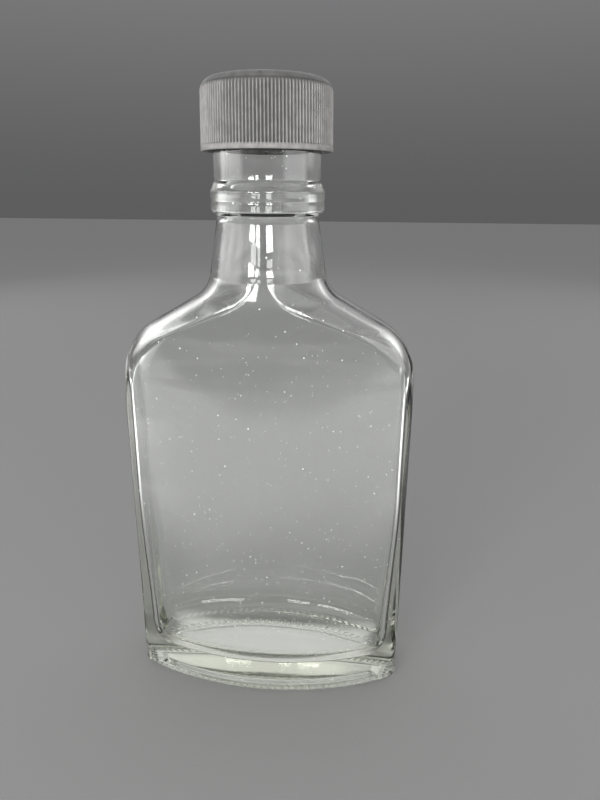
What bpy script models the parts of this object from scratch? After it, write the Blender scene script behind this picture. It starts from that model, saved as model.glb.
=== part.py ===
"""Glass hip flask of 200 ml with a ribbed black screw cap.

The flask is one solid of clear glass: a flat body with bowed front and back, narrow sides, sloping
shoulders, a round neck with a collar ring, and a mouth that stays open under the cap.  The cap is a
second solid, a cup with fine upright grooves.

Units are metres.  X runs across the width, the front faces -Y, and Z points up.  The origin is the
centre of the base, on the plane that the flask stands on.
"""

import math

import bmesh
import bpy
import numpy as np

MM = 0.001

# Body of the flask, outside
WIDTH_TOP = 80.4 * MM            # widest place, where the shoulders begin
WIDTH_BASE = 79.2 * MM           # just above the heel
DEPTH = 35.2 * MM                # over the bowed front and back
FACE_RADIUS = 83.0 * MM          # bow of the front and back faces, seen from above
CORNER_RADIUS = 3.0 * MM         # upright edges between a face and a side
HEEL_RADIUS = 2.5 * MM

# Shoulders, seen from the front
SHOULDER_BOTTOM = 96.4 * MM      # height where the straight sides end
SHOULDER_RADIUS = 16.2 * MM
SHOULDER_TURN = math.radians(60)  # the arc turns this far from upright, then a straight slope
NECK_FILLET = 7.8 * MM           # hollow curve between shoulder and neck
EDGE_ROUND_START = 86.0 * MM     # from here up the upright edges grow rounder
EDGE_ROUND_FULL = 110.0 * MM
SHOULDER_EDGE_RADIUS = 12.4 * MM

# Neck, collar and the finish that the cap covers
NECK_LOW_HEIGHT = 119.9 * MM     # the neck is a cone through these two circles
NECK_LOW_RADIUS = 16.1 * MM
NECK_TOP_HEIGHT = 138.8 * MM
NECK_TOP_RADIUS = 13.2 * MM
COLLAR_FOOT_HEIGHT = 139.8 * MM
COLLAR_FOOT_RADIUS = 14.8 * MM
COLLAR_TOP_HEIGHT = 144.9 * MM
COLLAR_TOP_RADIUS = 14.7 * MM
FINISH_BOTTOM = 147.4 * MM
FINISH_RADIUS = 13.7 * MM
LIP_HEIGHT = 168.3 * MM
LIP_ROUND = 0.9 * MM
BORE_RADIUS = 10.5 * MM

# Inside of the glass
WALL = 2.5 * MM
LOW_WALL_EXTRA = 2.0 * MM        # the side walls thicken towards the base
LOW_WALL_TOP = 62.0 * MM
FLOOR_HEIGHT = 7.0 * MM
FLOOR_RADIUS = 8.5 * MM          # large curve between the walls and the floor
INNER_CORNER_RADIUS = 2.6 * MM

# Underside
BEARING_WIDTH = 3.8 * MM         # flat ring that the flask stands on
PUSH_UP = 1.5 * MM               # hollow inside the ring
PUSH_UP_SLOPE = 3.0 * MM

# Screw cap
CAP_BOTTOM = 154.1 * MM
CAP_TOP = 171.0 * MM
CAP_BOTTOM_RADIUS = 16.8 * MM
CAP_TOP_RADIUS = 16.55 * MM
CAP_EDGE_RADIUS = 3.4 * MM
CAP_BORE_RADIUS = 15.3 * MM
CAP_ROOF = 2.4 * MM
GROOVES = 120
GROOVE_DEPTH = 0.4 * MM
GROOVE_WIDTH = 0.56 * MM
GROOVE_BOTTOM = CAP_BOTTOM + 1.2 * MM
GROOVE_TOP = CAP_TOP - 0.9 * MM  # the grooves run out on the rounded top edge

QUARTER_COLUMNS = 15             # columns of the loft in a quarter of the flask
CAP_STEPS = 60

NECK_LEAN = math.atan2(NECK_LOW_RADIUS - NECK_TOP_RADIUS, NECK_TOP_HEIGHT - NECK_LOW_HEIGHT)


def ease(value, low, high):
    """Smooth step from 0 at low to 1 at high."""
    share = np.clip((value - low) / (high - low), 0.0, 1.0)
    return share * share * (3.0 - 2.0 * share)


def quarter_section(half_width, half_depth, corner, face_radius):
    """Points of a quarter of a level section, from the middle of a side to the middle of a face.

    The section is a flat side, a corner arc and a wide face arc, each tangent to the next.  Where
    the corner radius equals both half sizes, the section is a circle.  The columns stand at equal
    shares of arc length and turning angle together, so a tight corner gets its own columns.
    """
    face_centre = half_depth - face_radius
    reach = half_width - corner
    side = face_centre + math.sqrt((face_radius - corner) ** 2 - reach ** 2)
    side = max(side, 0.0)
    turn = math.atan2(side - face_centre, reach)
    lengths = np.array([side, corner * turn, face_radius * (math.pi / 2 - turn)])
    turns = np.array([0.0, turn, math.pi / 2 - turn])
    shares = lengths / lengths.sum() + turns / (math.pi / 2)
    marks = np.concatenate([[0.0], np.cumsum(shares)])
    place = np.interp(np.linspace(0.0, marks[-1], QUARTER_COLUMNS + 1), marks, [0, 1, 2, 3])
    on_side = np.clip(place, 0, 1)
    on_corner = turn * np.clip(place - 1, 0, 1)
    on_face = turn + (math.pi / 2 - turn) * np.clip(place - 2, 0, 1)
    x = np.where(place < 2, reach + corner * np.cos(on_corner), face_radius * np.cos(on_face))
    y = np.where(
        place < 2,
        side * on_side + corner * np.sin(on_corner),
        face_centre + face_radius * np.sin(on_face),
    )
    x[-1] = 0.0
    y[0] = 0.0
    return x, y


def neck_radius(height):
    """Outer radius of the conical neck, carried on below its foot."""
    return NECK_TOP_RADIUS + (NECK_TOP_HEIGHT - height) * math.tan(NECK_LEAN)


def half_depth(height):
    """Outer half depth: the full depth of the body runs into the cone of the neck."""
    return min(DEPTH / 2, neck_radius(height))


def fillet_centre():
    """Centre of the hollow curve that is tangent to the shoulder's slope and to the neck."""
    across = WIDTH_TOP / 2 - SHOULDER_RADIUS
    slope_point = (
        across + SHOULDER_RADIUS * math.cos(SHOULDER_TURN),
        SHOULDER_BOTTOM + SHOULDER_RADIUS * math.sin(SHOULDER_TURN),
    )
    normals = np.array([
        [math.cos(SHOULDER_TURN), math.sin(SHOULDER_TURN)],
        [math.cos(NECK_LEAN), math.sin(NECK_LEAN)],
    ])
    distances = np.array([
        normals[0] @ slope_point + NECK_FILLET,
        normals[1] @ (NECK_LOW_RADIUS, NECK_LOW_HEIGHT) + NECK_FILLET,
    ])
    return np.linalg.solve(normals, distances)


def edge_radius(height):
    """Outer corner radius: tight on the body, round on the shoulders, the neck's own at the neck."""
    low = CORNER_RADIUS + (SHOULDER_EDGE_RADIUS - CORNER_RADIUS) * ease(
        height, EDGE_ROUND_START, EDGE_ROUND_FULL)
    neck_start = fillet_centre()[1] - NECK_FILLET * math.sin(NECK_LEAN)
    rise = np.clip((height - EDGE_ROUND_FULL) / (neck_start - EDGE_ROUND_FULL), 0.0, 1.0)
    return low + (neck_radius(height) - low) * rise


def shoulder_outline(inset):
    """Half width and height up the shoulder, for the outer outline moved inwards by an inset."""
    across = WIDTH_TOP / 2 - SHOULDER_RADIUS
    radius = SHOULDER_RADIUS - inset
    convex = np.linspace(0.0, SHOULDER_TURN, 8)
    rows = list(zip(across + radius * np.cos(convex), SHOULDER_BOTTOM + radius * np.sin(convex)))
    centre = fillet_centre()
    hollow = np.linspace(SHOULDER_TURN, NECK_LEAN, 7)
    curve = list(zip(centre[0] - (NECK_FILLET + inset) * np.cos(hollow),
                     centre[1] - (NECK_FILLET + inset) * np.sin(hollow)))
    slope = [tuple(np.array(rows[-1]) + share * (np.array(curve[0]) - rows[-1]))
             for share in (1 / 3, 2 / 3)]
    return rows + slope + curve


def outer_sections():
    """Level sections of the outside, from the middle of the underside up to the lip.

    Each row is a height, half width, half depth, corner radius and face radius.
    """
    rows = []
    foot = (WIDTH_BASE / 2, DEPTH / 2, CORNER_RADIUS, FACE_RADIUS)

    def inset_row(height, inset):
        corner = max(foot[2] - inset, 0.4 * MM)
        rows.append((height, foot[0] - inset, foot[1] - inset, corner, foot[3] - inset))

    ring_inside = HEEL_RADIUS + BEARING_WIDTH
    inset_row(PUSH_UP, ring_inside + PUSH_UP_SLOPE)
    inset_row(PUSH_UP * 0.5, ring_inside + PUSH_UP_SLOPE * 0.5)
    inset_row(0.0, ring_inside)
    for angle in np.linspace(0.0, math.pi / 2, 5):
        inset_row(HEEL_RADIUS * (1 - math.cos(angle)), HEEL_RADIUS * (1 - math.sin(angle)))
    for height in (40 * MM, 70 * MM, EDGE_ROUND_START):
        half = np.interp(height, (HEEL_RADIUS, SHOULDER_BOTTOM), (WIDTH_BASE / 2, WIDTH_TOP / 2))
        rows.append((height, half, half_depth(height), edge_radius(height), FACE_RADIUS))
    for half, height in shoulder_outline(0.0):
        rows.append((height, half, half_depth(height), edge_radius(height), FACE_RADIUS))
    turned = [
        (NECK_TOP_HEIGHT, NECK_TOP_RADIUS),
        (NECK_TOP_HEIGHT + 0.35 * MM, NECK_TOP_RADIUS + 0.35 * MM),
        (COLLAR_FOOT_HEIGHT - 0.55 * MM, COLLAR_FOOT_RADIUS - 0.25 * MM),
        (COLLAR_FOOT_HEIGHT, COLLAR_FOOT_RADIUS),
        (COLLAR_TOP_HEIGHT, COLLAR_TOP_RADIUS),
        ((COLLAR_TOP_HEIGHT + FINISH_BOTTOM) / 2, (COLLAR_TOP_RADIUS + FINISH_RADIUS) / 2),
        (FINISH_BOTTOM, FINISH_RADIUS),
        (LIP_HEIGHT - LIP_ROUND, FINISH_RADIUS),
        (LIP_HEIGHT - 0.3 * LIP_ROUND, FINISH_RADIUS - 0.3 * LIP_ROUND),
        (LIP_HEIGHT, FINISH_RADIUS - LIP_ROUND),
    ]
    rows += [(height, radius, radius, radius, FACE_RADIUS) for height, radius in turned]
    return rows


def inner_sections():
    """Level sections of the inside, from the lip down to the middle of the floor."""
    rows = []
    turned = [
        (LIP_HEIGHT, BORE_RADIUS + LIP_ROUND * 0.7),
        (LIP_HEIGHT - LIP_ROUND * 0.7, BORE_RADIUS),
        (NECK_TOP_HEIGHT + 3 * MM, BORE_RADIUS),
    ]
    rows += [(height, radius, radius, radius, FACE_RADIUS) for height, radius in turned]
    for half, height in reversed(shoulder_outline(WALL)):
        depth = half_depth(height) - WALL
        corner = min(max(edge_radius(height) - WALL, INNER_CORNER_RADIUS), half, depth)
        rows.append((height, half, depth, corner, FACE_RADIUS - WALL))

    def low_row(height, inset):
        thick = LOW_WALL_EXTRA * (1 - ease(height, FLOOR_HEIGHT, LOW_WALL_TOP))
        half = np.interp(height, (HEEL_RADIUS, SHOULDER_BOTTOM), (WIDTH_BASE / 2, WIDTH_TOP / 2))
        corner = max(INNER_CORNER_RADIUS + thick - inset, 0.6 * MM)
        rows.append((
            height, half - WALL - thick - inset, DEPTH / 2 - WALL - thick * 0.4 - inset,
            corner, FACE_RADIUS - WALL - inset,
        ))

    for height in (EDGE_ROUND_START, LOW_WALL_TOP, 44 * MM, 30 * MM):
        low_row(height, 0.0)
    for angle in np.linspace(0.0, math.pi / 2, 6):
        low_row(FLOOR_HEIGHT + FLOOR_RADIUS * (1 - math.sin(angle)),
                FLOOR_RADIUS * (1 - math.cos(angle)))
    return rows


def loft_quarter(name, rows, low_pole, high_pole):
    """Quarter shell over a list of sections, closed on the axis at its first and last row."""
    vertices = [(0.0, 0.0, low_pole)]
    for height, half_width, depth, corner, face in rows:
        x, y = quarter_section(half_width, depth, corner, face)
        vertices += [(px, py, height) for px, py in zip(x, y)]
    vertices.append((0.0, 0.0, high_pole))
    ring = QUARTER_COLUMNS + 1
    last = len(vertices) - 1
    faces = []
    for column in range(QUARTER_COLUMNS):
        faces.append((0, 2 + column, 1 + column))
        for row in range(len(rows) - 1):
            start = 1 + row * ring + column
            faces.append((start, start + 1, start + ring + 1, start + ring))
        end = 1 + (len(rows) - 1) * ring + column
        faces.append((end, end + 1, last))
    mesh = bpy.data.meshes.new(name)
    mesh.from_pydata(vertices, [], faces)
    mesh.validate()
    return mesh


def make_material(name, colour, roughness, metallic, transmission, ior):
    """Principled material with the piece's own finish."""
    material = bpy.data.materials.new(name)
    material.use_nodes = True
    shader = material.node_tree.nodes["Principled BSDF"]
    shader.inputs["Base Color"].default_value = (*colour, 1.0)
    shader.inputs["Roughness"].default_value = roughness
    shader.inputs["Metallic"].default_value = metallic
    shader.inputs["Transmission Weight"].default_value = transmission
    shader.inputs["IOR"].default_value = ior
    return material


def shade(piece, material):
    """Give a piece its material and smooth shading with crisp edges."""
    piece.data.materials.clear()
    piece.data.materials.append(material)
    piece.data.shade_smooth()
    piece.data.set_sharp_from_angle(angle=math.radians(35))


def make_flask(parts, material):
    """Hollow glass flask: a quarter loft over the outside and inside, mirrored twice."""
    rows = outer_sections() + inner_sections()
    mesh = loft_quarter("flask_glass", rows, PUSH_UP, FLOOR_HEIGHT)
    flask = bpy.data.objects.new("flask_glass", mesh)
    parts.objects.link(flask)
    mirror = flask.modifiers.new("Mirror", "MIRROR")
    mirror.use_axis[0] = True
    mirror.use_axis[1] = True
    mirror.merge_threshold = 0.00001
    shade(flask, material)
    return flask


def cap_profile():
    """Half outline of the cap, from the middle of its top down the outside and up the inside."""
    edge_centre = (CAP_TOP_RADIUS - CAP_EDGE_RADIUS, CAP_TOP - CAP_EDGE_RADIUS)
    points = [(0.0, CAP_TOP)]
    for angle in np.linspace(math.pi / 2, 0.0, 6):
        points.append((
            edge_centre[0] + CAP_EDGE_RADIUS * math.cos(angle),
            edge_centre[1] + CAP_EDGE_RADIUS * math.sin(angle),
        ))
    bevel = 0.25 * MM
    roof = CAP_TOP - CAP_ROOF
    points += [
        (CAP_BOTTOM_RADIUS, CAP_BOTTOM + bevel),
        (CAP_BOTTOM_RADIUS - bevel, CAP_BOTTOM),
        (CAP_BORE_RADIUS, CAP_BOTTOM),
        (CAP_BORE_RADIUS, roof - 0.8 * MM),
        (CAP_BORE_RADIUS - 0.8 * MM, roof),
        (0.0, roof),
    ]
    return points


def make_groove_cutter(cutters):
    """One mesh of upright three-sided prisms, standing where the grooves of the cap are."""
    bm = bmesh.new()
    outside = 0.6 * MM
    height_span = (GROOVE_BOTTOM, GROOVE_TOP)
    wall_radii = np.interp(height_span, (CAP_BOTTOM, CAP_TOP - CAP_EDGE_RADIUS),
                           (CAP_BOTTOM_RADIUS, CAP_TOP_RADIUS))
    widen = GROOVE_WIDTH / 2 * (GROOVE_DEPTH + outside) / GROOVE_DEPTH
    for index in range(GROOVES):
        angle = 2 * math.pi * (index + 0.5) / GROOVES
        radial = np.array([math.cos(angle), math.sin(angle)])
        along = np.array([-math.sin(angle), math.cos(angle)])
        rings = []
        for height, radius in zip(height_span, wall_radii):
            corners = [
                radial * (radius - GROOVE_DEPTH),
                radial * (radius + outside) + along * widen,
                radial * (radius + outside) - along * widen,
            ]
            rings.append([bm.verts.new((*corner, height)) for corner in corners])
        low, high = rings
        bm.faces.new(reversed(low))
        bm.faces.new(high)
        for first in range(3):
            second = (first + 1) % 3
            bm.faces.new((low[first], low[second], high[second], high[first]))
    bmesh.ops.recalc_face_normals(bm, faces=bm.faces)
    mesh = bpy.data.meshes.new("groove_cutter")
    bm.to_mesh(mesh)
    bm.free()
    cutter = bpy.data.objects.new("groove_cutter", mesh)
    cutter.hide_render = True
    cutter.display_type = "WIRE"
    cutters.objects.link(cutter)
    return cutter


def make_cap(parts, cutters, material):
    """Screw cap: a turned cup with upright grooves cut round it."""
    points = [(radius, 0.0, height) for radius, height in cap_profile()]
    edges = [(index, index + 1) for index in range(len(points) - 1)]
    mesh = bpy.data.meshes.new("screw_cap")
    mesh.from_pydata(points, edges, [])
    cap = bpy.data.objects.new("screw_cap", mesh)
    parts.objects.link(cap)
    turn = cap.modifiers.new("Turn", "SCREW")
    turn.axis = "Z"
    turn.angle = 2 * math.pi
    turn.steps = CAP_STEPS
    turn.render_steps = CAP_STEPS
    turn.use_merge_vertices = True
    turn.merge_threshold = 0.00001
    grooves = cap.modifiers.new("Grooves", "BOOLEAN")
    grooves.operation = "DIFFERENCE"
    grooves.solver = "EXACT"
    grooves.object = make_groove_cutter(cutters)
    shade(cap, material)
    return cap


def main():
    for item in list(bpy.data.objects):
        bpy.data.objects.remove(item, do_unlink=True)
    parts = bpy.data.collections.new("glass_hip_flask")
    cutters = bpy.data.collections.new("cutters")
    bpy.context.scene.collection.children.link(parts)
    bpy.context.scene.collection.children.link(cutters)
    clear_glass = make_material("clear_glass", (0.93, 0.96, 0.92), 0.03, 0.0, 1.0, 1.52)
    black_plastic = make_material("black_plastic", (0.028, 0.028, 0.03), 0.38, 0.0, 0.0, 1.46)
    make_flask(parts, clear_glass)
    make_cap(parts, cutters, black_plastic)


main()
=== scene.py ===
# %% [markdown]
# A glass hip flask with a black screw cap
#
# The solid model gives the places and sizes: a flat flask of clear glass and a ribbed cap.  Here each
# solid gets a fine surface and a finish of its own.  The flask is hollow glass, so its looks come from
# how it bends light, and every face of it is worked out as one smooth closed surface.

# %% Load the solid model
import math

import bpy
import numpy as np
from mathutils import Matrix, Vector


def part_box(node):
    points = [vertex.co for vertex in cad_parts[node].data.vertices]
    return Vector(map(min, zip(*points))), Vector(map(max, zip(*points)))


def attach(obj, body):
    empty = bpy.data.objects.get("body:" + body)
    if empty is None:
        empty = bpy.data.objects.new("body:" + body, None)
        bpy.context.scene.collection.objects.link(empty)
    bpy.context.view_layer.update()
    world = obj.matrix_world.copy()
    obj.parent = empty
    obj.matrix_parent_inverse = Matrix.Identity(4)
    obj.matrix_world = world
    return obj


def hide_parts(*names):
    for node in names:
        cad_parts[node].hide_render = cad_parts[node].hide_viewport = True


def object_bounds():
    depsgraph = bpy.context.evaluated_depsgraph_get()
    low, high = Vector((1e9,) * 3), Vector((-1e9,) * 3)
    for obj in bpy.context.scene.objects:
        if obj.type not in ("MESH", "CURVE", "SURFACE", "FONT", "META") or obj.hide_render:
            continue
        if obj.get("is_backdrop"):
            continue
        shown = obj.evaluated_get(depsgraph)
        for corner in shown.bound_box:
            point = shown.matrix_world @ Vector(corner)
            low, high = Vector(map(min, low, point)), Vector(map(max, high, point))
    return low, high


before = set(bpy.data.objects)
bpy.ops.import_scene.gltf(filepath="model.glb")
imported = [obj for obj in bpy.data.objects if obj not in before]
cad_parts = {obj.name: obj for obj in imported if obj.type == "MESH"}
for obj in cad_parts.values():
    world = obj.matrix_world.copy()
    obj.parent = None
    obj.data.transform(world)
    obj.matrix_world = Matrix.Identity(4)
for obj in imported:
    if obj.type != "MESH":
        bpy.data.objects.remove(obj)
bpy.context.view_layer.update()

MM = 0.001
glass_low, glass_high = (np.array(corner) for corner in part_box("flask_glass"))
cap_low, cap_high = (np.array(corner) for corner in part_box("screw_cap"))
print("flask box in mm", np.round((glass_high - glass_low) / MM, 1))
print("cap box in mm", np.round((cap_high - cap_low) / MM, 1))


# %% [markdown]
# Every level cut through this flask is one family of shapes.  Half a side is flat, then a corner arc
# turns into a wide face arc, each tangent to the next.  With a small corner radius that is the body,
# and with a corner radius as large as the half width it is the round neck.  So one formula makes
# body, shoulders and neck, and the surface never needs a seam between them.

# %% Level sections as whole arrays
TURN_WEIGHT = 0.25
TINY = 1e-9


def quarter(half_width, half_depth, corner, face, columns):
    """Quarter of each level section, from the middle of a side to the middle of a face.

    The centre of the corner arc lies where a circle of the corner radius touches both the side and
    the face arc: its height is the face centre plus sqrt((face - corner)^2 - (width - corner)^2).
    Columns stand at equal shares of arc length plus a weight times the turning angle.
    """
    half_width, half_depth, corner, face = (
        np.asarray(values, float)[:, None] for values in (half_width, half_depth, corner, face))
    face_centre = half_depth - face
    reach = half_width - corner
    side = np.maximum(face_centre + np.sqrt((face - corner) ** 2 - reach ** 2), 0.0)
    turn = np.arctan2(side - face_centre, reach)
    rest = math.pi / 2 - turn
    length = side + corner * turn + face * rest
    first = side / length + TINY
    second = first + corner * turn / length + TURN_WEIGHT * turn / (math.pi / 2)
    total = second + face * rest / length + TURN_WEIGHT * rest / (math.pi / 2) + TINY
    mark = np.linspace(0.0, 1.0, columns + 1)[None, :] * total
    on_side = np.clip(mark / first, 0.0, 1.0)
    on_corner = turn * np.clip((mark - first) / (second - first), 0.0, 1.0)
    on_face = turn + rest * np.clip((mark - second) / (total - second), 0.0, 1.0)
    curved = mark < second
    x = np.where(curved, reach + corner * np.cos(on_corner), face * np.cos(on_face))
    y = np.where(curved, side * on_side + corner * np.sin(on_corner),
                 face_centre + face * np.sin(on_face))
    x[:, -1] = 0.0
    y[:, 0] = 0.0
    return x, y


def full_ring(x, y):
    """A quarter mirrored three times into a closed ring that runs round anticlockwise."""
    back = slice(None, 0, -1)
    ring_x = np.concatenate([x[:, :-1], -x[:, back], -x[:, :-1], x[:, back]], axis=1)
    ring_y = np.concatenate([y[:, :-1], y[:, back], -y[:, :-1], -y[:, back]], axis=1)
    return ring_x, ring_y


def smooth(value, low, high):
    """Smooth step: 0 up to low, 1 from high, with level ends."""
    share = np.clip((np.asarray(value, float) - low) / (high - low), 0.0, 1.0)
    return share * share * (3.0 - 2.0 * share)


print("section helpers ready")


# %% [markdown]
# Seen from the front, the outline is a straight side, a round shoulder, a straight slope, a hollow
# curve and the cone of the neck.  Moving that outline inwards by the wall's thickness gives the inside:
# the round shoulder loses the wall from its radius and the hollow curve gains it.

# %% Outline of the shoulders and neck
WIDTH_TOP = glass_high[0] - glass_low[0]
WIDTH_BASE = WIDTH_TOP - 1.2 * MM
DEPTH = glass_high[1] - glass_low[1]
FACE_RADIUS = 83.0 * MM
CORNER_RADIUS = 3.0 * MM
HEEL_RADIUS = 2.5 * MM
SHOULDER_BOTTOM = 96.4 * MM
SHOULDER_RADIUS = 16.2 * MM
SHOULDER_TURN = math.radians(60)
NECK_FILLET = 7.8 * MM
EDGE_ROUND_START = 86.0 * MM
EDGE_ROUND_FULL = 110.0 * MM
SHOULDER_EDGE_RADIUS = 12.4 * MM
NECK_TOP_HEIGHT = 138.8 * MM
NECK_TOP_RADIUS = 13.2 * MM
NECK_LOW_HEIGHT = 119.9 * MM
NECK_LOW_RADIUS = 16.1 * MM
NECK_EASE = 0.9 * MM
NECK_LEAN = math.atan2(NECK_LOW_RADIUS - NECK_TOP_RADIUS, NECK_TOP_HEIGHT - NECK_LOW_HEIGHT)
WALL = 2.5 * MM


def neck_radius(height):
    """Radius of the neck's cone, which goes on below its foot."""
    return NECK_TOP_RADIUS + (NECK_TOP_HEIGHT - np.asarray(height)) * math.tan(NECK_LEAN)


def half_depth_at(height):
    """The smaller of the body's half depth and the neck's cone, with the bend between them eased."""
    body = DEPTH / 2
    gap = neck_radius(height) - body
    return body + 0.5 * (gap - np.sqrt(gap ** 2 + NECK_EASE ** 2))


def fillet_centre():
    """Centre of the hollow curve: the point at one fillet radius from the slope and from the cone."""
    across = WIDTH_TOP / 2 - SHOULDER_RADIUS
    slope = np.array([math.cos(SHOULDER_TURN), math.sin(SHOULDER_TURN)])
    cone = np.array([math.cos(NECK_LEAN), math.sin(NECK_LEAN)])
    on_slope = np.array([across, SHOULDER_BOTTOM]) + SHOULDER_RADIUS * slope
    on_cone = np.array([NECK_LOW_RADIUS, NECK_LOW_HEIGHT])
    reach = np.array([slope @ on_slope, cone @ on_cone]) + NECK_FILLET
    return np.linalg.solve(np.array([slope, cone]), reach)


NECK_START = fillet_centre()[1] - NECK_FILLET * math.sin(NECK_LEAN)


def edge_radius(height):
    """Corner radius: small on the body, growing up the shoulder to the neck's own radius."""
    low = CORNER_RADIUS + (SHOULDER_EDGE_RADIUS - CORNER_RADIUS) * smooth(
        height, EDGE_ROUND_START, EDGE_ROUND_FULL)
    rise = np.clip((np.asarray(height) - EDGE_ROUND_FULL) / (NECK_START - EDGE_ROUND_FULL), 0.0, 1.0)
    return low + (neck_radius(height) - low) * rise


def side_half(height):
    """Half width of the nearly straight sides, which spread a little from the heel upwards."""
    return np.interp(height, (HEEL_RADIUS, SHOULDER_BOTTOM), (WIDTH_BASE / 2, WIDTH_TOP / 2))


def shoulder_outline(inset, arc_steps, slope_steps, hollow_steps):
    """Half widths and heights up the shoulder, for the outline moved inwards by an inset."""
    convex = np.linspace(0.0, SHOULDER_TURN, arc_steps)
    radius = SHOULDER_RADIUS - inset
    arc = np.stack([WIDTH_TOP / 2 - SHOULDER_RADIUS + radius * np.cos(convex),
                    SHOULDER_BOTTOM + radius * np.sin(convex)], axis=1)
    concave = np.linspace(SHOULDER_TURN, NECK_LEAN, hollow_steps)
    hollow = fillet_centre() - (NECK_FILLET + inset) * np.stack(
        [np.cos(concave), np.sin(concave)], axis=1)
    share = np.linspace(0.0, 1.0, slope_steps + 2)[1:-1, None]
    slope = arc[-1] + share * (hollow[0] - arc[-1])
    return np.concatenate([arc, slope, hollow])


print("the neck starts at", round(NECK_START / MM, 1), "mm")


# %% [markdown]
# The outside goes on from the neck over a small step to the collar ring, then in to the finish that the
# cap covers, and over the rounded lip.  A moulded ring has small curves at its edges and a fine line
# round its foot.  Those catch the light, so each is a few rows of its own, worked out from its height.

# %% Outside of the glass, from the heel up to the lip
STEP_ROUND = 0.35 * MM
COLLAR_FOOT_ROUND = 0.6 * MM
COLLAR_FOOT_HEIGHT = 139.8 * MM
COLLAR_FOOT_RADIUS = 14.8 * MM
COLLAR_LINE_HEIGHT = 142.2 * MM
COLLAR_LINE_WIDTH = 0.45 * MM
COLLAR_LINE_DEPTH = 0.07 * MM
COLLAR_TOP_HEIGHT = 144.9 * MM
FINISH_BOTTOM = 147.4 * MM
FINISH_RADIUS = 13.7 * MM
LIP_HEIGHT = glass_high[2]
LIP_ROUND = 0.9 * MM
BORE_RADIUS = 10.5 * MM


def arc_rows(centre, radius, start, end, steps):
    """Rows along an arc in the plane of radius and height, between two angles in degrees."""
    angle = np.radians(np.linspace(start, end, steps))
    return np.stack([centre[0] + radius * np.cos(angle), centre[1] + radius * np.sin(angle)], axis=1)


def sections(widths, heights, depths, corners, faces):
    """Rows of half width, height, half depth, corner radius and face radius as one array."""
    return np.stack(np.broadcast_arrays(widths, heights, depths, corners, faces), axis=1)


def round_sections(rows):
    """Round rows, where half width, half depth and corner radius are all the radius."""
    return sections(rows[:, 0], rows[:, 1], rows[:, 0], rows[:, 0], FACE_RADIUS)


def outer_rows():
    """Sections of the outside: body, shoulder, then the turned neck, step, collar, finish and lip.

    The collar's radius is its foot radius, less a bell curve in height for the fine line, less a
    smooth step in height down to the finish.
    """
    heights = np.concatenate([
        np.linspace(HEEL_RADIUS, EDGE_ROUND_START, 12),
        np.linspace(EDGE_ROUND_START, SHOULDER_BOTTOM, 8)[1:-1],
    ])
    body = sections(side_half(heights), heights, half_depth_at(heights), edge_radius(heights),
                    FACE_RADIUS)
    outline = shoulder_outline(0.0, 34, 12, 22)
    shoulder = sections(outline[:, 0], outline[:, 1], half_depth_at(outline[:, 1]),
                        edge_radius(outline[:, 1]), FACE_RADIUS)
    neck_heights = np.linspace(NECK_START, NECK_TOP_HEIGHT - 0.4 * MM, 10)[1:]
    neck = np.stack([neck_radius(neck_heights), neck_heights], axis=1)
    step_in = arc_rows((NECK_TOP_RADIUS + STEP_ROUND, NECK_TOP_HEIGHT - STEP_ROUND), STEP_ROUND,
                       180, 120, 4)
    step_out = arc_rows((COLLAR_FOOT_RADIUS - COLLAR_FOOT_ROUND, COLLAR_FOOT_HEIGHT + 0.2 * MM),
                        COLLAR_FOOT_ROUND, -60, 0, 7)
    heights = np.linspace(COLLAR_FOOT_HEIGHT + 0.4 * MM, FINISH_BOTTOM, 30)
    line = np.exp(-((heights - COLLAR_LINE_HEIGHT) / COLLAR_LINE_WIDTH) ** 2)
    inwards = (COLLAR_FOOT_RADIUS - FINISH_RADIUS) * smooth(
        heights, COLLAR_TOP_HEIGHT - 0.6 * MM, FINISH_BOTTOM)
    collar = np.stack([COLLAR_FOOT_RADIUS - COLLAR_LINE_DEPTH * line - inwards, heights], axis=1)
    finish_heights = np.linspace(FINISH_BOTTOM, LIP_HEIGHT - LIP_ROUND, 7)[1:]
    finish = np.stack([np.full_like(finish_heights, FINISH_RADIUS), finish_heights], axis=1)
    lip = arc_rows((FINISH_RADIUS - LIP_ROUND, LIP_HEIGHT - LIP_ROUND), LIP_ROUND, 0, 90, 6)[1:]
    turned = np.concatenate([neck, step_in, step_out, collar, finish, lip])
    return np.concatenate([body, shoulder, round_sections(turned)])


outside = outer_rows()
print(len(outside), "rows outside")


# %% [markdown]
# The inside of a blown flask is softer than its outside.  The walls are thickest at the foot of the
# sides, the floor runs into them in a large curve, and the surface waves by a few hundredths of a
# millimetre.  Those waves and the thick corners are what bend the bright lines in the photograph.

# %% Inside of the glass, from the lip down to the floor
BORE_TOP = LIP_HEIGHT - 2 * MM
BORE_BOTTOM = NECK_TOP_HEIGHT + 8 * MM
NECK_BOW = 0.45 * MM
LOW_WALL_EXTRA = 2.0 * MM
LOW_WALL_TOP = 62.0 * MM
FACE_SHARE = 0.4
FLOOR_HEIGHT = 7.0 * MM
FLOOR_RADIUS = 8.5 * MM
INNER_CORNER_RADIUS = 2.6 * MM
LEAST_CORNER_RADIUS = 0.6 * MM


def low_sections(heights, insets):
    """Inside of the lower body: the wall thickens downwards, and the floor curve adds an inset.

    The faces take only a share of the thickening, and the sides take it whole.
    """
    thick = LOW_WALL_EXTRA * (1 - smooth(heights, FLOOR_HEIGHT, LOW_WALL_TOP))
    corners = np.maximum(INNER_CORNER_RADIUS + thick - insets, LEAST_CORNER_RADIUS)
    return sections(side_half(heights) - WALL - thick - insets, heights,
                    DEPTH / 2 - WALL - FACE_SHARE * thick - insets, corners,
                    FACE_RADIUS - WALL - insets)


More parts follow.
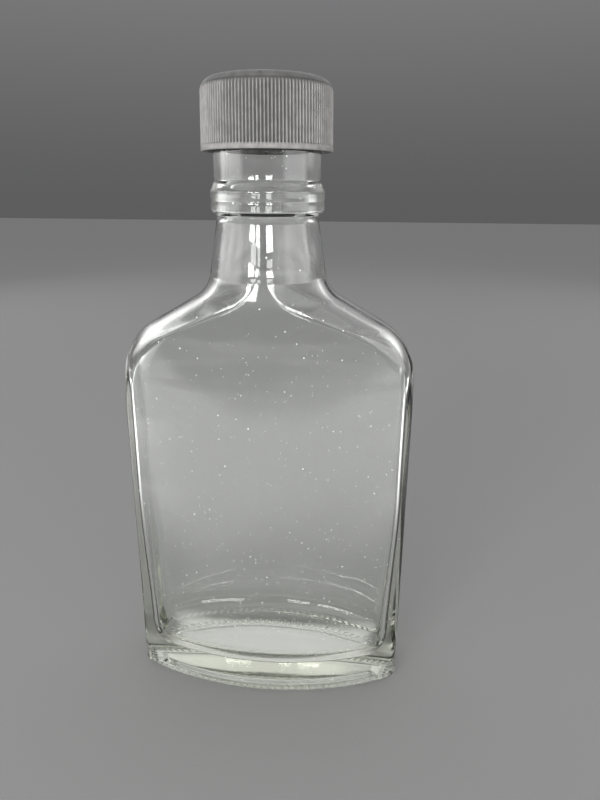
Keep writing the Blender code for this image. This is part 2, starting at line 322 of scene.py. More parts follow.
def inner_rows():
    """Sections of the inside: lip, bore, a long taper down the neck, shoulder, body and floor.

    The taper is a straight line from the bore to the shoulder, less a squared sine along it.
    """
    inner_round = LIP_ROUND * 0.7
    lip = arc_rows((BORE_RADIUS + inner_round, LIP_HEIGHT - inner_round), inner_round, 90, 180, 5)
    outline = shoulder_outline(WALL, 30, 12, 20)[::-1]
    bore_heights = np.linspace(BORE_TOP, BORE_BOTTOM, 16)
    bore = np.stack([np.full_like(bore_heights, BORE_RADIUS), bore_heights], axis=1)
    share = np.linspace(0.0, 1.0, 22)[1:-1, None]
    neck = bore[-1] + share * (outline[0] - bore[-1])
    neck[:, 0] -= NECK_BOW * np.sin(math.pi * share[:, 0]) ** 2
    turned = round_sections(np.concatenate([lip, bore, neck]))
    depths = half_depth_at(outline[:, 1]) - WALL
    corners = np.maximum(edge_radius(outline[:, 1]) - WALL, INNER_CORNER_RADIUS)
    corners = np.minimum(corners, np.minimum(outline[:, 0], depths))
    shoulder = sections(outline[:, 0], outline[:, 1], depths, corners, FACE_RADIUS - WALL)
    heights = np.concatenate([
        np.linspace(SHOULDER_BOTTOM, EDGE_ROUND_START, 8)[1:],
        np.linspace(EDGE_ROUND_START, FLOOR_HEIGHT + FLOOR_RADIUS, 30)[1:-1],
    ])
    body = low_sections(heights, np.zeros_like(heights))
    body[:, 3] = np.maximum(body[:, 3], edge_radius(heights) - WALL)
    angle = np.linspace(0.0, math.pi / 2, 20)
    floor = low_sections(FLOOR_HEIGHT + FLOOR_RADIUS * (1 - np.sin(angle)),
                         FLOOR_RADIUS * (1 - np.cos(angle)))
    return np.concatenate([turned, shoulder, body, floor])


inside = inner_rows()
print(len(inside), "rows inside")


# %% [markdown]
# The flask stands on a narrow ring round its underside.  The mould leaves a row of small bars across
# that ring, which keep the hot glass off the belt.  Each bar is real relief here, because the thick
# base shows them from the front as a row of bright beads.

# %% Underside with its ring of bars
BAR_COUNT = 80
BAR_RELIEF = 0.45 * MM
RING_OUTSIDE = 2.3 * MM
RING_INSIDE = 6.3 * MM
BARS_OUTSIDE = (RING_OUTSIDE, RING_OUTSIDE + 1.2 * MM)
BARS_INSIDE = (RING_INSIDE - 2.0 * MM, RING_INSIDE - 0.8 * MM)
PUSH_UP = 1.5 * MM
PUSH_UP_SLOPE = 3.0 * MM
FOOT_CORNER_RADIUS = 0.4 * MM
# Columns in a quarter of a ring, on the walls and on the underside.
WALL_COLUMNS = 60
BASE_COLUMNS = 3 * WALL_COLUMNS


def inset_sections(insets, heights):
    """Sections of the heel and underside: the foot's outline moved inwards."""
    corners = np.maximum(CORNER_RADIUS - insets, FOOT_CORNER_RADIUS)
    return sections(WIDTH_BASE / 2 - insets, heights, DEPTH / 2 - insets, corners,
                    FACE_RADIUS - insets)


def underside():
    """Points of the underside and heel, as rows from the middle outwards.

    A bar is a raised cosine along the ring times a smooth rise and fall across it.
    """
    slope = np.linspace(1.0, 0.0, 9)[:-1]
    ring = np.linspace(RING_INSIDE, RING_OUTSIDE, 13)
    heel = np.radians(np.linspace(0.0, 90.0, 9))[1:-1]
    insets = np.concatenate([
        RING_INSIDE + PUSH_UP_SLOPE * slope, ring, HEEL_RADIUS * (1 - np.sin(heel))])
    heights = np.concatenate([
        BAR_RELIEF + (PUSH_UP - BAR_RELIEF) * smooth(slope, 0.0, 1.0),
        np.full(len(ring), BAR_RELIEF),
        BAR_RELIEF + (HEEL_RADIUS - BAR_RELIEF) * (1 - np.cos(heel)),
    ])
    rows = inset_sections(insets, heights)
    x, y = full_ring(*quarter(rows[:, 0], rows[:, 2], rows[:, 3], rows[:, 4], BASE_COLUMNS))
    middle = int(np.argmin(np.abs(insets - (RING_INSIDE + RING_OUTSIDE) / 2)))
    steps = np.hypot(np.roll(x[middle], -1) - x[middle], np.roll(y[middle], -1) - y[middle])
    along = np.concatenate([[0.0], np.cumsum(steps)[:-1]]) / steps.sum()
    wave = 0.5 + 0.5 * np.cos(2 * math.pi * BAR_COUNT * along)
    across = smooth(insets, *BARS_OUTSIDE) * (1 - smooth(insets, *BARS_INSIDE))
    z = heights[:, None] - BAR_RELIEF * across[:, None] * wave[None, :]
    shrink = np.array([0.25, 0.5, 0.75])[:, None]
    x = np.concatenate([x[0] * shrink, x])
    y = np.concatenate([y[0] * shrink, y])
    z = np.concatenate([np.full((3, z.shape[1]), z[0, 0]), z])
    return np.stack([x, y, z], axis=2)


base_points = underside()
print(BAR_COUNT, "bars on the bearing ring,", base_points.shape[0], "rows in the underside")


# %% [markdown]
# A surface on a grid needs its faces only as numbers: each face lists the corners that it joins.  Blender
# could build them one at a time, but whole arrays are faster and shorter.  A band of quads joins two
# rings, a stitched row joins a ring to one with three times its points, and a fan closes a pole.

# %% Faces between rings
def ring_points(rows, columns):
    """Points of full rings for an array of sections."""
    x, y = full_ring(*quarter(rows[:, 0], rows[:, 2], rows[:, 3], rows[:, 4], columns))
    z = np.broadcast_to(rows[:, 1][:, None], x.shape)
    return np.stack([x, y, z], axis=2)


def band_faces(first, rows, columns):
    """Quads between neighbouring rings, as an array of four corner numbers each."""
    start = first + np.arange(rows - 1)[:, None] * columns
    here = np.arange(columns)[None, :]
    after = (here + 1) % columns
    quads = np.stack([start + here, start + after, start + columns + after, start + columns + here],
                     axis=2)
    return quads.reshape(-1, 4)


def stitch_faces(fine_first, coarse_first, coarse):
    """Triangles between a ring and the next one, which has a third of its points."""
    near = np.arange(coarse)
    here = coarse_first + near
    after = coarse_first + (near + 1) % coarse
    fine = [fine_first + (3 * near + step) % (3 * coarse) for step in range(4)]
    return np.concatenate([
        np.stack([here, fine[0], fine[1]], axis=1),
        np.stack([here, fine[1], after], axis=1),
        np.stack([after, fine[1], fine[2]], axis=1),
        np.stack([after, fine[2], fine[3]], axis=1),
    ])


def fan_faces(pole, first, columns, pole_first):
    """Triangles between a pole point and a ring, turned so that they face out of the glass."""
    here = first + np.arange(columns)
    after = first + (np.arange(columns) + 1) % columns
    tip = np.full(columns, pole)
    if pole_first:
        return np.stack([tip, after, here], axis=1)
    return np.stack([here, after, tip], axis=1)


def make_mesh(name, points, quads, triangles):
    """Mesh from point, quad and triangle arrays, put in as whole arrays and shaded smooth."""
    mesh = bpy.data.meshes.new(name)
    corners = np.concatenate([triangles.ravel(), quads.ravel()]).astype(np.int32)
    sizes = np.concatenate([np.full(len(triangles), 3), np.full(len(quads), 4)])
    starts = np.concatenate([[0], np.cumsum(sizes)[:-1]]).astype(np.int32)
    mesh.vertices.add(len(points))
    mesh.vertices.foreach_set("co", points.astype(np.float32).ravel())
    mesh.loops.add(len(corners))
    mesh.loops.foreach_set("vertex_index", corners)
    mesh.polygons.add(len(sizes))
    mesh.polygons.foreach_set("loop_start", starts)
    mesh.update(calc_edges=True)
    mesh.validate()
    mesh.shade_smooth()
    piece = bpy.data.objects.new(name, mesh)
    bpy.context.scene.collection.objects.link(piece)
    print(name, "has", len(triangles) + 2 * len(quads), "triangles")
    return piece


print("ring and face helpers ready")


# %% [markdown]
# All rows now become one closed skin: the underside with three times as many columns, a stitched row,
# then outside, lip and inside.  Rings that run round anticlockwise, taken from the underside over the
# lip to the floor, give faces that all point out of the glass.

# %% Skin of the flask
WAVE_HEIGHT = 0.03 * MM


def waves(points):
    """Push the inside in and out by a few hundredths of a millimetre, along each ring's normal.

    The push is a sum of slow sines of width and height, with other phases on the back.
    """
    x, y, z = points[..., 0], points[..., 1], points[..., 2]
    along_x = np.roll(x, -1, axis=1) - np.roll(x, 1, axis=1)
    along_y = np.roll(y, -1, axis=1) - np.roll(y, 1, axis=1)
    length = np.hypot(along_x, along_y) + TINY
    back = np.where(y > 0, 1.9, 0.0)
    push = (np.sin(x / (5.3 * MM) + z / (8.9 * MM) + 0.7 + back)
            + 0.7 * np.sin(x / (3.1 * MM) - z / (4.7 * MM) + 2.1 + 2 * back)
            + 0.8 * np.sin(z / (6.1 * MM) + 1.3 * back))
    push *= WAVE_HEIGHT * smooth(z, FLOOR_HEIGHT + 1 * MM, FLOOR_HEIGHT + 9 * MM)
    push *= 1 - smooth(z, NECK_TOP_HEIGHT, BORE_BOTTOM)
    points = points.copy()
    points[..., 0] += push * along_y / length
    points[..., 1] -= push * along_x / length
    return points


def make_flask():
    """Closed skin from the middle of the underside, over the lip, to the middle of the floor inside."""
    floor = inside[-1:].repeat(3, axis=0)
    outer = ring_points(outside, WALL_COLUMNS)
    inner = ring_points(inside, WALL_COLUMNS)
    bottom = ring_points(floor, WALL_COLUMNS)
    bottom[..., :2] *= np.array([0.75, 0.5, 0.25])[:, None, None]
    walls = np.concatenate([outer, waves(inner), bottom])
    columns = 4 * WALL_COLUMNS
    fine_columns = 4 * BASE_COLUMNS
    points = np.concatenate([
        [(0.0, 0.0, base_points[0, 0, 2])],
        base_points.reshape(-1, 3),
        walls.reshape(-1, 3),
        [(0.0, 0.0, walls[-1, 0, 2])],
    ])
    walls_first = 1 + base_points.shape[0] * fine_columns
    quads = np.concatenate([
        band_faces(1, base_points.shape[0], fine_columns),
        band_faces(walls_first, walls.shape[0], columns),
    ])
    triangles = np.concatenate([
        fan_faces(0, 1, fine_columns, True),
        stitch_faces(walls_first - fine_columns, walls_first, columns),
        fan_faces(len(points) - 1, len(points) - 1 - columns, columns, False),
    ])
    return make_mesh("flask_body", points, quads, triangles)


flask = make_flask()


# %% [markdown]
# The cap is moulded in black plastic.  Its wall carries fine upright grooves that end at the top in
# small round arches, with a plain band at the foot and a smooth round edge above.  It could be cut
# groove by groove, as the solid is.  Taking the smaller of two radii at each point gives the same
# grooves with soft edges, and the arches at their ends come out by themselves.

# %% Screw cap
CAP_BOTTOM = cap_low[2]
CAP_TOP = cap_high[2]
CAP_BOTTOM_RADIUS = (cap_high[0] - cap_low[0]) / 2
CAP_TOP_RADIUS = CAP_BOTTOM_RADIUS - 0.25 * MM
CAP_EDGE_RADIUS = 3.4 * MM
CAP_DISH = 0.12 * MM
CAP_DISH_RADIUS = CAP_TOP_RADIUS - CAP_EDGE_RADIUS - 1.0 * MM
CAP_FOOT_ROUND = 0.25 * MM
CAP_BORE_RADIUS = 15.3 * MM
CAP_BORE_CHAMFER = 0.8 * MM
CAP_ROOF = 2.4 * MM
GROOVES = 120
GROOVE_DEPTH = 0.4 * MM
GROOVE_BOTTOM = CAP_BOTTOM + 1.2 * MM
GROOVE_RUNOUT = 0.35 * MM
GROOVE_EASE = 0.03 * MM
COLUMNS_PER_GROOVE = 12


def wall_radius(height):
    """Radius of the cap's wall, which leans in a little upwards, carried on straight above its top."""
    share = (height - CAP_BOTTOM) / (CAP_TOP - CAP_EDGE_RADIUS - CAP_BOTTOM)
    return CAP_BOTTOM_RADIUS + np.minimum(share, 1.0) * (CAP_TOP_RADIUS - CAP_BOTTOM_RADIUS)


def cap_outline():
    """Radius and height rows from the middle of the top, down the outside and up the inside.

    With them come the first of the rows that the grooves cut and the count of those rows.
    """
    wall_top = CAP_TOP - CAP_EDGE_RADIUS
    dish = np.stack([np.linspace(0.25, 1.0, 4) * CAP_DISH_RADIUS,
                     np.full(4, CAP_TOP - CAP_DISH)], axis=1)
    edge = arc_rows((CAP_TOP_RADIUS - CAP_EDGE_RADIUS, wall_top), CAP_EDGE_RADIUS, 90, 3, 22)
    heights = np.concatenate([
        np.linspace(wall_top - 0.3 * MM, GROOVE_BOTTOM + 1.0 * MM, 5),
        np.linspace(GROOVE_BOTTOM + 0.4 * MM, GROOVE_BOTTOM, 4),
    ])
    wall = np.stack([wall_radius(heights), heights], axis=1)
    foot = arc_rows((CAP_BOTTOM_RADIUS - CAP_FOOT_ROUND, CAP_BOTTOM + CAP_FOOT_ROUND),
                    CAP_FOOT_ROUND, 0, -90, 4)
    roof = CAP_TOP - CAP_ROOF
    inner = np.array([
        (CAP_BORE_RADIUS + 0.2 * MM, CAP_BOTTOM),
        (CAP_BORE_RADIUS, CAP_BOTTOM + CAP_FOOT_ROUND),
        (CAP_BORE_RADIUS, roof - CAP_BORE_CHAMFER),
        (CAP_BORE_RADIUS - CAP_BORE_CHAMFER, roof),
        (CAP_BORE_RADIUS * 0.5, roof),
    ])
    return np.concatenate([dish, edge, wall, foot, inner]), len(dish), len(edge) + len(wall)


def make_cap():
    """Turned skin, cut by a second, grooved cylinder: the radius is the smaller of the two.

    The grooved radius is the wall's less a raised cosine across each groove.  Where the turned skin
    curves in at the top it passes below the grooves, which makes the arch at the end of each.
    """
    outline, first, rows = cap_outline()
    columns = GROOVES * COLUMNS_PER_GROOVE
    angle = 2 * math.pi * (np.arange(columns) / columns + 0.5 / GROOVES)
    phase = (np.arange(columns) % COLUMNS_PER_GROOVE) / COLUMNS_PER_GROOVE
    across = (0.5 + 0.5 * np.cos(2 * math.pi * phase)) ** 0.8
    height = outline[:, 1:]
    radius = np.repeat(outline[:, :1], columns, axis=1)
    cut = wall_radius(height) - GROOVE_DEPTH * across[None, :] * smooth(
        height, GROOVE_BOTTOM, GROOVE_BOTTOM + GROOVE_RUNOUT)
    ribbed = slice(first, first + rows)
    gap = radius[ribbed] - cut[ribbed]
    radius[ribbed] -= 0.5 * (gap + np.sqrt(gap ** 2 + GROOVE_EASE ** 2))
    points = np.stack([radius * np.cos(angle), radius * np.sin(angle),
                       np.broadcast_to(height, radius.shape)], axis=2)
    count = len(outline)
    points = np.concatenate([[(0.0, 0.0, outline[0, 1])], points.reshape(-1, 3),
                             [(0.0, 0.0, outline[-1, 1])]])
    quads = band_faces(1, count, columns)[:, ::-1]
    triangles = np.concatenate([
        fan_faces(0, 1, columns, True)[:, ::-1],
        fan_faces(len(points) - 1, len(points) - 1 - columns, columns, False)[:, ::-1],
    ])
    return make_mesh("ribbed_cap", points, quads, triangles)


cap = make_cap()


# %% [markdown]
# A finish is a small tree of nodes that ends in one shader.  Its wear could come from a picture wrapped
# round the piece.  Noise that is worked out at each point needs no picture and is as fine as the eye
# can see.  It reads the piece's own coordinates, so it stays in its place when the piece is moved.

# %% Helpers for the finishes
def node(tree, kind, **sockets):
    """New shader node with its plain socket values set."""
    made = tree.nodes.new(kind)
    for name, value in sockets.items():
        made.inputs[name].default_value = value
    return made


def new_material(name):
    """Material with its node tree and the shader at the end of it."""
    material = bpy.data.materials.new(name)
    material.use_nodes = True
    tree = material.node_tree
    return material, tree, tree.nodes["Principled BSDF"]


def object_place(tree):
    """Place of each point in the piece's own coordinates."""
    return tree.nodes.new("ShaderNodeTexCoord").outputs["Object"]


def object_height(tree):
    """Height of each point above the plane that the flask stands on."""
    split = tree.nodes.new("ShaderNodeSeparateXYZ")
    tree.links.new(object_place(tree), split.inputs["Vector"])
    return split.outputs["Z"]


def object_noise(tree, scale, detail, stretch=(1.0, 1.0, 1.0)):
    """Noise on the piece's own coordinates, stretched by a Mapping node."""
    mapping = node(tree, "ShaderNodeMapping", Scale=stretch)
    noise = node(tree, "ShaderNodeTexNoise", Scale=scale, Detail=detail)
    tree.links.new(object_place(tree), mapping.inputs["Vector"])
    tree.links.new(mapping.outputs["Vector"], noise.inputs["Vector"])
    return noise.outputs["Fac"]


def remap(tree, value, low, high, out_low, out_high):
    """Map Range node from one span of values to another."""
    made = node(tree, "ShaderNodeMapRange", **{
        "From Min": low, "From Max": high, "To Min": out_low, "To Max": out_high})
    tree.links.new(value, made.inputs["Value"])
    return made.outputs["Result"]


def maths(tree, operation, first, second):
    """Math node on two linked values."""
    made = tree.nodes.new("ShaderNodeMath")
    made.operation = operation
    tree.links.new(first, made.inputs[0])
    tree.links.new(second, made.inputs[1])
    return made.outputs["Value"]


def bump(tree, height, distance, strength, before=None):
    """Bump node, which tilts the light on the surface by a height, over another bump where given."""
    made = node(tree, "ShaderNodeBump", Distance=distance, Strength=strength)
    tree.links.new(height, made.inputs["Height"])
    if before is not None:
        tree.links.new(before, made.inputs["Normal"])
    return made.outputs["Normal"]


print("finish helpers ready")


# %% [markdown]
# Clear glass is a shader with full transmission, the refraction of soda-lime glass and almost no
# roughness.  A trace of yellow-green absorption shows only where light goes the long way through it, at
# the heel and the corners.  Noise in the bump gives the slow ripple of moulded glass.  A used flask
# also has specks of dust and a foot scuffed by shelves: cells of a Voronoi texture make the specks,
# and the height above the floor makes the foot rough.

# %% Finish of the glass
def speck_mask(tree, scale, size, share):
    """1 inside small round specks: near the point of a Voronoi cell, in a share of the cells."""
    cells = node(tree, "ShaderNodeTexVoronoi", Scale=scale)
    tree.links.new(object_place(tree), cells.inputs["Vector"])
    split = tree.nodes.new("ShaderNodeSeparateColor")
    tree.links.new(cells.outputs["Color"], split.inputs["Color"])
    near = remap(tree, cells.outputs["Distance"], size * 0.6, size, 1.0, 0.0)
    chosen = remap(tree, split.outputs["Red"], 1 - share, 1 - share + 0.01, 0.0, 1.0)
    return maths(tree, "MULTIPLY", near, chosen)


def scuffed_foot(tree):
    """Roughness of the foot, which rubs on every shelf: high at the floor and gone 2 mm above it."""
    low = remap(tree, object_height(tree), 0.2 * MM, 2.0 * MM, 1.0, 0.0)
    patchy = remap(tree, object_noise(tree, 350.0, 3.0), 0.35, 0.65, 0.10, 0.38)
    return maths(tree, "MULTIPLY", low, patchy)


def glass_material():
    """Clear glass with haze, dust specks, a scuffed foot, ripple and a trace of colour in its depth."""
    material, tree, shader = new_material("clear_glass")
    shader.inputs["Base Color"].default_value = (0.985, 0.992, 0.985, 1.0)
    shader.inputs["Transmission Weight"].default_value = 1.0
    shader.inputs["IOR"].default_value = 1.52
    haze = remap(tree, object_noise(tree, 60.0, 5.0), 0.50, 0.8, 0.0, 0.07)
    specks = speck_mask(tree, 620.0, 0.13, 0.2)
    tree.links.new(remap(tree, specks, 0.0, 1.0, 0.0, 0.9), shader.inputs["Metallic"])
    rough = maths(tree, "MAXIMUM", haze, scuffed_foot(tree))
    rough = maths(tree, "MAXIMUM", rough, remap(tree, specks, 0.0, 1.0, 0.0, 0.7))
    tree.links.new(rough, shader.inputs["Roughness"])
    ripple = bump(tree, object_noise(tree, 110.0, 2.0, (1.0, 1.0, 0.6)), 0.06 * MM, 0.5)
    pits = bump(tree, object_noise(tree, 420.0, 2.0), 0.012 * MM, 0.5, ripple)
    tree.links.new(pits, shader.inputs["Normal"])
    absorb = node(tree, "ShaderNodeVolumeAbsorption", Color=(0.89, 0.93, 0.72, 1.0), Density=20.0)
    output = tree.nodes["Material Output"]
    tree.links.new(absorb.outputs["Volume"], output.inputs["Volume"])
    return material


flask.data.materials.append(glass_material())
print("glass finish on", flask.name)


# %% [markdown]
# Black moulded plastic is a dark satin surface, but never one flat black.  Its ribs and top edge are
# painted pale as a painted highlight, its grooves are painted dark as painted shade, and a fine grain
# breaks up the highlights.  That painted light follows the shape: it is read from how far each point lies
# from the cap's axis.

# %% Finish of the cap
def painted_rib_light_mask(tree):
    """Painted light: 0 as painted shade in the bottom of a groove, 1 as a painted highlight on a rib and a
    half on the smooth top edge.

    It is read from the distance to the axis plus the wall's lean, and from the height.
    """
    flat = tree.nodes.new("ShaderNodeVectorMath")
    flat.operation = "MULTIPLY"
    flat.inputs[1].default_value = (1.0, 1.0, 0.0)
    tree.links.new(object_place(tree), flat.inputs[0])
    length = tree.nodes.new("ShaderNodeVectorMath")
    length.operation = "LENGTH"
    tree.links.new(flat.outputs["Vector"], length.inputs[0])
    height = object_height(tree)
    lean = (CAP_BOTTOM_RADIUS - CAP_TOP_RADIUS) / (CAP_TOP - CAP_EDGE_RADIUS - CAP_BOTTOM)
    wall = tree.nodes.new("ShaderNodeMath")
    wall.operation = "MULTIPLY_ADD"
    wall.inputs[1].default_value = lean
    tree.links.new(height, wall.inputs[0])
    tree.links.new(length.outputs["Value"], wall.inputs[2])
    level = CAP_BOTTOM_RADIUS + lean * CAP_BOTTOM
    ribs = remap(tree, wall.outputs["Value"], level - GROOVE_DEPTH, level - 0.06 * MM, 0.0, 1.0)
    top = remap(tree, height, CAP_TOP - 2.0 * MM, CAP_TOP - 1.5 * MM, 0.0, 0.5)
    return maths(tree, "MAXIMUM", ribs, top)


def plastic_material():
    """Satin plastic, painted pale on its ribs as a painted highlight and dark in its grooves as painted
    shade.
    """
    material, tree, shader = new_material("black_plastic")
    shader.inputs["IOR"].default_value = 1.49
    blotches = remap(tree, object_noise(tree, 500.0, 4.0), 0.3, 0.7, 0.6, 1.0)
    # painted highlight on the ribs and top edge, painted shade in the grooves, with random tone from the
    # noise
    painted_rib_light = maths(tree, "MULTIPLY", painted_rib_light_mask(tree), blotches)
    colour = node(tree, "ShaderNodeMix")
    colour.data_type = "RGBA"
    # A is painted shade in the grooves, B a painted highlight on the ribs, far paler than black plastic
    colour.inputs["A"].default_value = (0.040, 0.040, 0.041, 1.0)
    colour.inputs["B"].default_value = (0.350, 0.342, 0.330, 1.0)
    tree.links.new(painted_rib_light, colour.inputs["Factor"])
    tree.links.new(colour.outputs["Result"], shader.inputs["Base Color"])
    rubbed = object_noise(tree, 420.0, 3.0, (1.0, 1.0, 0.35))
    tree.links.new(remap(tree, rubbed, 0.3, 0.7, 0.26, 0.40), shader.inputs["Roughness"])
    grain = object_noise(tree, 2200.0, 3.0)
    tree.links.new(bump(tree, grain, 0.03 * MM, 0.6), shader.inputs["Normal"])
    return material


cap.data.materials.append(plastic_material())
print("plastic finish on", cap.name)


# %% [markdown]
# Both pieces now take the place of their solids.
# Nothing moves on this object, so both ride on the one body.

# %% Take the place of the solids
for piece, solid, slot in ((flask, "flask_glass", "clear_glass"), (cap, "screw_cap", "black_plastic")):
    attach(piece, "root")
    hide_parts(solid)
print("pieces:", flask.name, cap.name)


# %% [markdown]
# Clear glass shows what is round it, so the room matters as much as the material.  Here that is a plain
# pale floor and a plain grey room that gets lighter upwards.  The room is dim where the camera looks
# straight at it and lighter for the glass, so the edges of the glass stand out bright, as they do
# in the photograph.

# %% Floor and room
FLOOR_SIZE = 6.0


def stage_floor():
    """Square sheet of floor, round the spot that the flask stands on."""
    material, tree, shader = new_material("pale_floor")
    shader.inputs["Base Color"].default_value = (0.40, 0.40, 0.395, 1.0)
    shader.inputs["Roughness"].default_value = 0.9
    half = FLOOR_SIZE / 2
    mesh = bpy.data.meshes.new("floor")
    mesh.from_pydata([(-half, -half, 0), (half, -half, 0), (half, half, 0), (-half, half, 0)], [],
                     [(0, 1, 2, 3)])
    mesh.materials.append(material)
    floor = bpy.data.objects.new("floor", mesh)
    bpy.context.scene.collection.objects.link(floor)
    floor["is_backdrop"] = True


def room(seen, glow):
    """Grey room, from its horizon up: dimmer where the camera sees it than for the glass and the floor."""
    world = bpy.data.worlds.new("room")
    world.use_nodes = True
    tree = world.node_tree
    place = tree.nodes.new("ShaderNodeTexCoord")
    split = tree.nodes.new("ShaderNodeSeparateXYZ")
    tree.links.new(place.outputs["Generated"], split.inputs["Vector"])
    rise = node(tree, "ShaderNodeMapRange", **{"From Min": -0.05, "From Max": 0.45})
    rise.interpolation_type = "SMOOTHSTEP"
    tree.links.new(split.outputs["Z"], rise.inputs["Value"])
    path = tree.nodes.new("ShaderNodeLightPath")
    choice = node(tree, "ShaderNodeMix")
    tree.links.new(rise.outputs["Result"], choice.inputs["Factor"])
    for end, glow_end, seen_end in zip("AB", glow, seen):
        level = node(tree, "ShaderNodeMix", A=glow_end, B=seen_end)
        tree.links.new(path.outputs["Is Camera Ray"], level.inputs["Factor"])
        tree.links.new(level.outputs["Result"], choice.inputs[end])
    background = tree.nodes["Background"]
    tree.links.new(choice.outputs["Result"], background.inputs["Strength"])
    background.inputs["Color"].default_value = (1.0, 1.0, 1.02, 1.0)
    bpy.context.scene.world = world


stage_floor()
room((0.11, 0.24), (0.20, 0.42))
print("floor", FLOOR_SIZE, "m across")


# %% [markdown]
# Glass is drawn by its lights.  A studio lights it with soft boxes, whose glow fades towards their edges
# and so leaves no hard border in the reflections.  A plain area light is evenly bright, so each light
# here gets a small tree of nodes that fades it.  A window is placed by the angles that it fills, seen
# from the neck, because those can be judged from its reflection in the photograph.

# %% Soft boxes
NECK_MIDDLE = 130 * MM
CARD_LIFT = 2 * MM
FACING_UP = (math.pi, 0.0, 0.0)


def fade_to_edges(data, soft):
    """Light nodes: brightness is the product of a smooth rise from each pair of edges."""
    data.use_nodes = True
    tree = data.node_tree
    emission = tree.nodes["Emission"]
    place = tree.nodes.new("ShaderNodeNewGeometry")
    split = tree.nodes.new("ShaderNodeSeparateXYZ")
    tree.links.new(place.outputs["Parametric"], split.inputs["Vector"])
    shares = []
    for axis in "XY":
        mirrored = tree.nodes.new("ShaderNodeMath")
        mirrored.operation = "PINGPONG"
        mirrored.inputs[1].default_value = 0.5
        tree.links.new(split.outputs[axis], mirrored.inputs[0])
        rise = node(tree, "ShaderNodeMapRange", **{"From Max": soft})
        rise.interpolation_type = "SMOOTHSTEP"
        tree.links.new(mirrored.outputs["Value"], rise.inputs["Value"])
        shares.append(rise.outputs["Result"])
    tree.links.new(maths(tree, "MULTIPLY", *shares), emission.inputs["Strength"])


def soft_box(name, place, turn, size, radiance, soft=0.25):
    """Rectangular light, seen by the glass but not by the camera, with its brightness in plain units."""
    data = bpy.data.lights.new(name, "AREA")
    data.shape = "RECTANGLE"
    data.size, data.size_y = size
    data.energy = radiance * math.pi * size[0] * size[1]
    fade_to_edges(data, soft)
    lamp = bpy.data.objects.new(name, data)
    bpy.context.scene.collection.objects.link(lamp)
    lamp.location = place
    lamp.rotation_euler = turn
    lamp.visible_camera = False
    return lamp


def window(name, azimuths, elevations, radiance, distance=0.9, soft=0.2):
    """Light that fills a range of angles seen from the neck, 0 straight in front, positive to the right."""
    azimuth, elevation = (math.radians(sum(span) / 2) for span in (azimuths, elevations))
    wide = math.radians(azimuths[1] - azimuths[0]) * math.cos(elevation)
    tall = math.radians(elevations[1] - elevations[0])
    level = distance * math.cos(elevation)
    place = (level * math.sin(azimuth), -level * math.cos(azimuth),
             NECK_MIDDLE + distance * math.sin(elevation))
    size = [2 * distance * math.tan(angle / 2) for angle in (wide, tall)]
    return soft_box(name, place, (math.pi / 2 - elevation, 0.0, azimuth), size, radiance, soft)


def low_card(name, x_span, y_span, radiance, soft=0.25):
    """Light that lies just above the floor and faces up."""
    place = (sum(x_span) / 2, sum(y_span) / 2, CARD_LIFT)
    size = (x_span[1] - x_span[0], y_span[1] - y_span[0])
    return soft_box(name, place, FACING_UP, size, radiance, soft)


print("soft box helpers ready")


# %% [markdown]
# The panes of two windows stand in front and draw the bright upright marks on the neck.  A round neck
# mirrors a whole room, so two broad boxes at the sides, seen only in reflections, give the pale bands
# beside those marks.  Cards lie low round the flask: light that comes through an upright glass wall
# keeps its downward slope, so only a card near the floor can fill the faces with the milky veil and
# draw the lines inside the edges.  One more card lies under the foot, where thick glass gathers light.

# %% Lights round the flask
PANE_ELEVATIONS = ((5.4, 10.2), (12.0, 15.4))
PANE_AZIMUTHS = {"left_a": (-32, -20), "left_b": (-17, -10), "right": (4, 18)}
PANE_RADIANCE = 24.0
SIDE_ELEVATIONS = (-6, 20)
BASE_CARD_PLACE = (0.0, 0.0, 0.12 * MM)
BASE_CARD_SIZE = (0.078, 0.032)

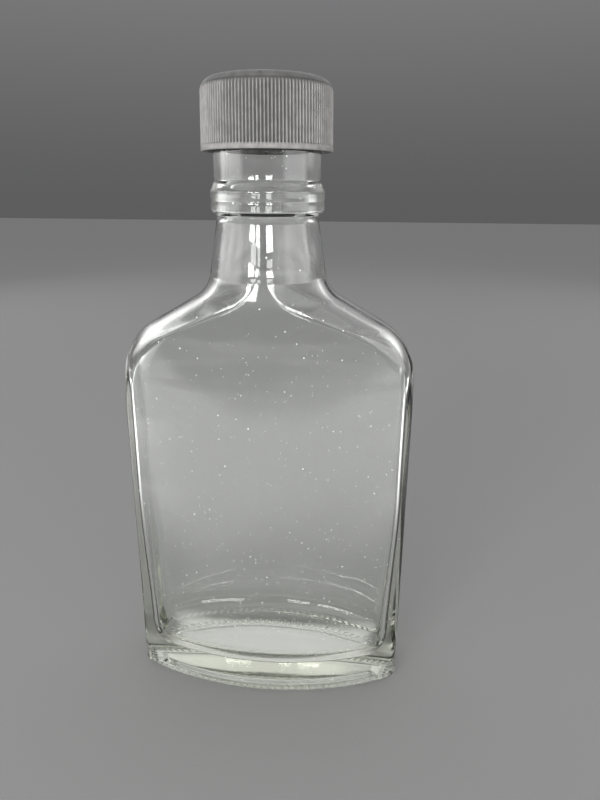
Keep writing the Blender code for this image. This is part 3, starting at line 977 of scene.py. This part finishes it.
for side, azimuths in PANE_AZIMUTHS.items():
    for row, elevations in enumerate(PANE_ELEVATIONS):
        window(f"pane_{side}_{row}", azimuths, elevations, PANE_RADIANCE, soft=0.08)
window("front_left", (-66, -5), (1, 26), 1.8, soft=0.45)
window("front_right", (0, 66), (1, 26), 1.6, soft=0.45)
for name, azimuths, radiance in (("side_left", (-114, -40), 4.2), ("side_right", (36, 104), 3.5)):
    side_box = window(name, azimuths, SIDE_ELEVATIONS, radiance, soft=0.25)
    side_box.visible_transmission = False
    side_box.visible_diffuse = False
window("behind_left", (-165, -90), (0, 34), 0.9, soft=0.45)
window("behind_right", (90, 165), (0, 34), 0.9, soft=0.45)
window("behind_high", (145, 215), (20, 60), 0.25)
low_card("front_card", (-0.60, 0.60), (-0.30, -0.02), 0.95)
soft_box("base_card", BASE_CARD_PLACE, FACING_UP, BASE_CARD_SIZE, 0.50, soft=0.15)
for side, name in ((-1, "left"), (1, "right")):
    low_card("side_card_" + name, sorted((side * 0.09, side * 0.50)), (-0.20, 0.16), 1.6, soft=0.4)
    low_card("back_card_" + name, sorted((side * 0.17, side * 0.75)), (0.14, 0.60), 1.6, soft=0.4)


# %% [markdown]
# The camera stands close to the flask, level with its collar and a little to the right, and looks down
# by eighteen degrees.  Its place was fitted to the outline in the photograph.

# %% Camera
CAMERA_PLACE = (24.6 * MM, -174.6 * MM, 145.2 * MM)
CAMERA_YAW = 5.17
CAMERA_PITCH = 18.05
CAMERA_ROLL = 0.40
FOCAL_PIXELS = 647.0
FRAME_HEIGHT = 800.0
SENSOR = 36.0


def make_camera():
    """Camera turned by its roll, then tilted down by its pitch, then swung by its yaw."""
    data = bpy.data.cameras.new("camera")
    data.sensor_fit = "VERTICAL"
    data.sensor_height = SENSOR
    data.lens = FOCAL_PIXELS * SENSOR / FRAME_HEIGHT
    data.clip_start = 0.01
    camera = bpy.data.objects.new("camera", data)
    bpy.context.scene.collection.objects.link(camera)
    camera.location = CAMERA_PLACE
    turn = (Matrix.Rotation(math.radians(CAMERA_YAW), 3, "Z")
            @ Matrix.Rotation(math.radians(90 - CAMERA_PITCH), 3, "X")
            @ Matrix.Rotation(math.radians(CAMERA_ROLL), 3, "Z"))
    camera.rotation_euler = turn.to_euler()
    bpy.context.scene.camera = camera


make_camera()
bpy.context.scene.view_settings.view_transform = "Standard"
print("camera at", CAMERA_PLACE)


# %% [markdown]
# Last, the size of the finished model is written beside the size of the solids, so that the two can
# be compared.

# %% Sizes and finish
low, high = np.array(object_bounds())
print("finished size in mm", np.round((high - low) / MM, 1))
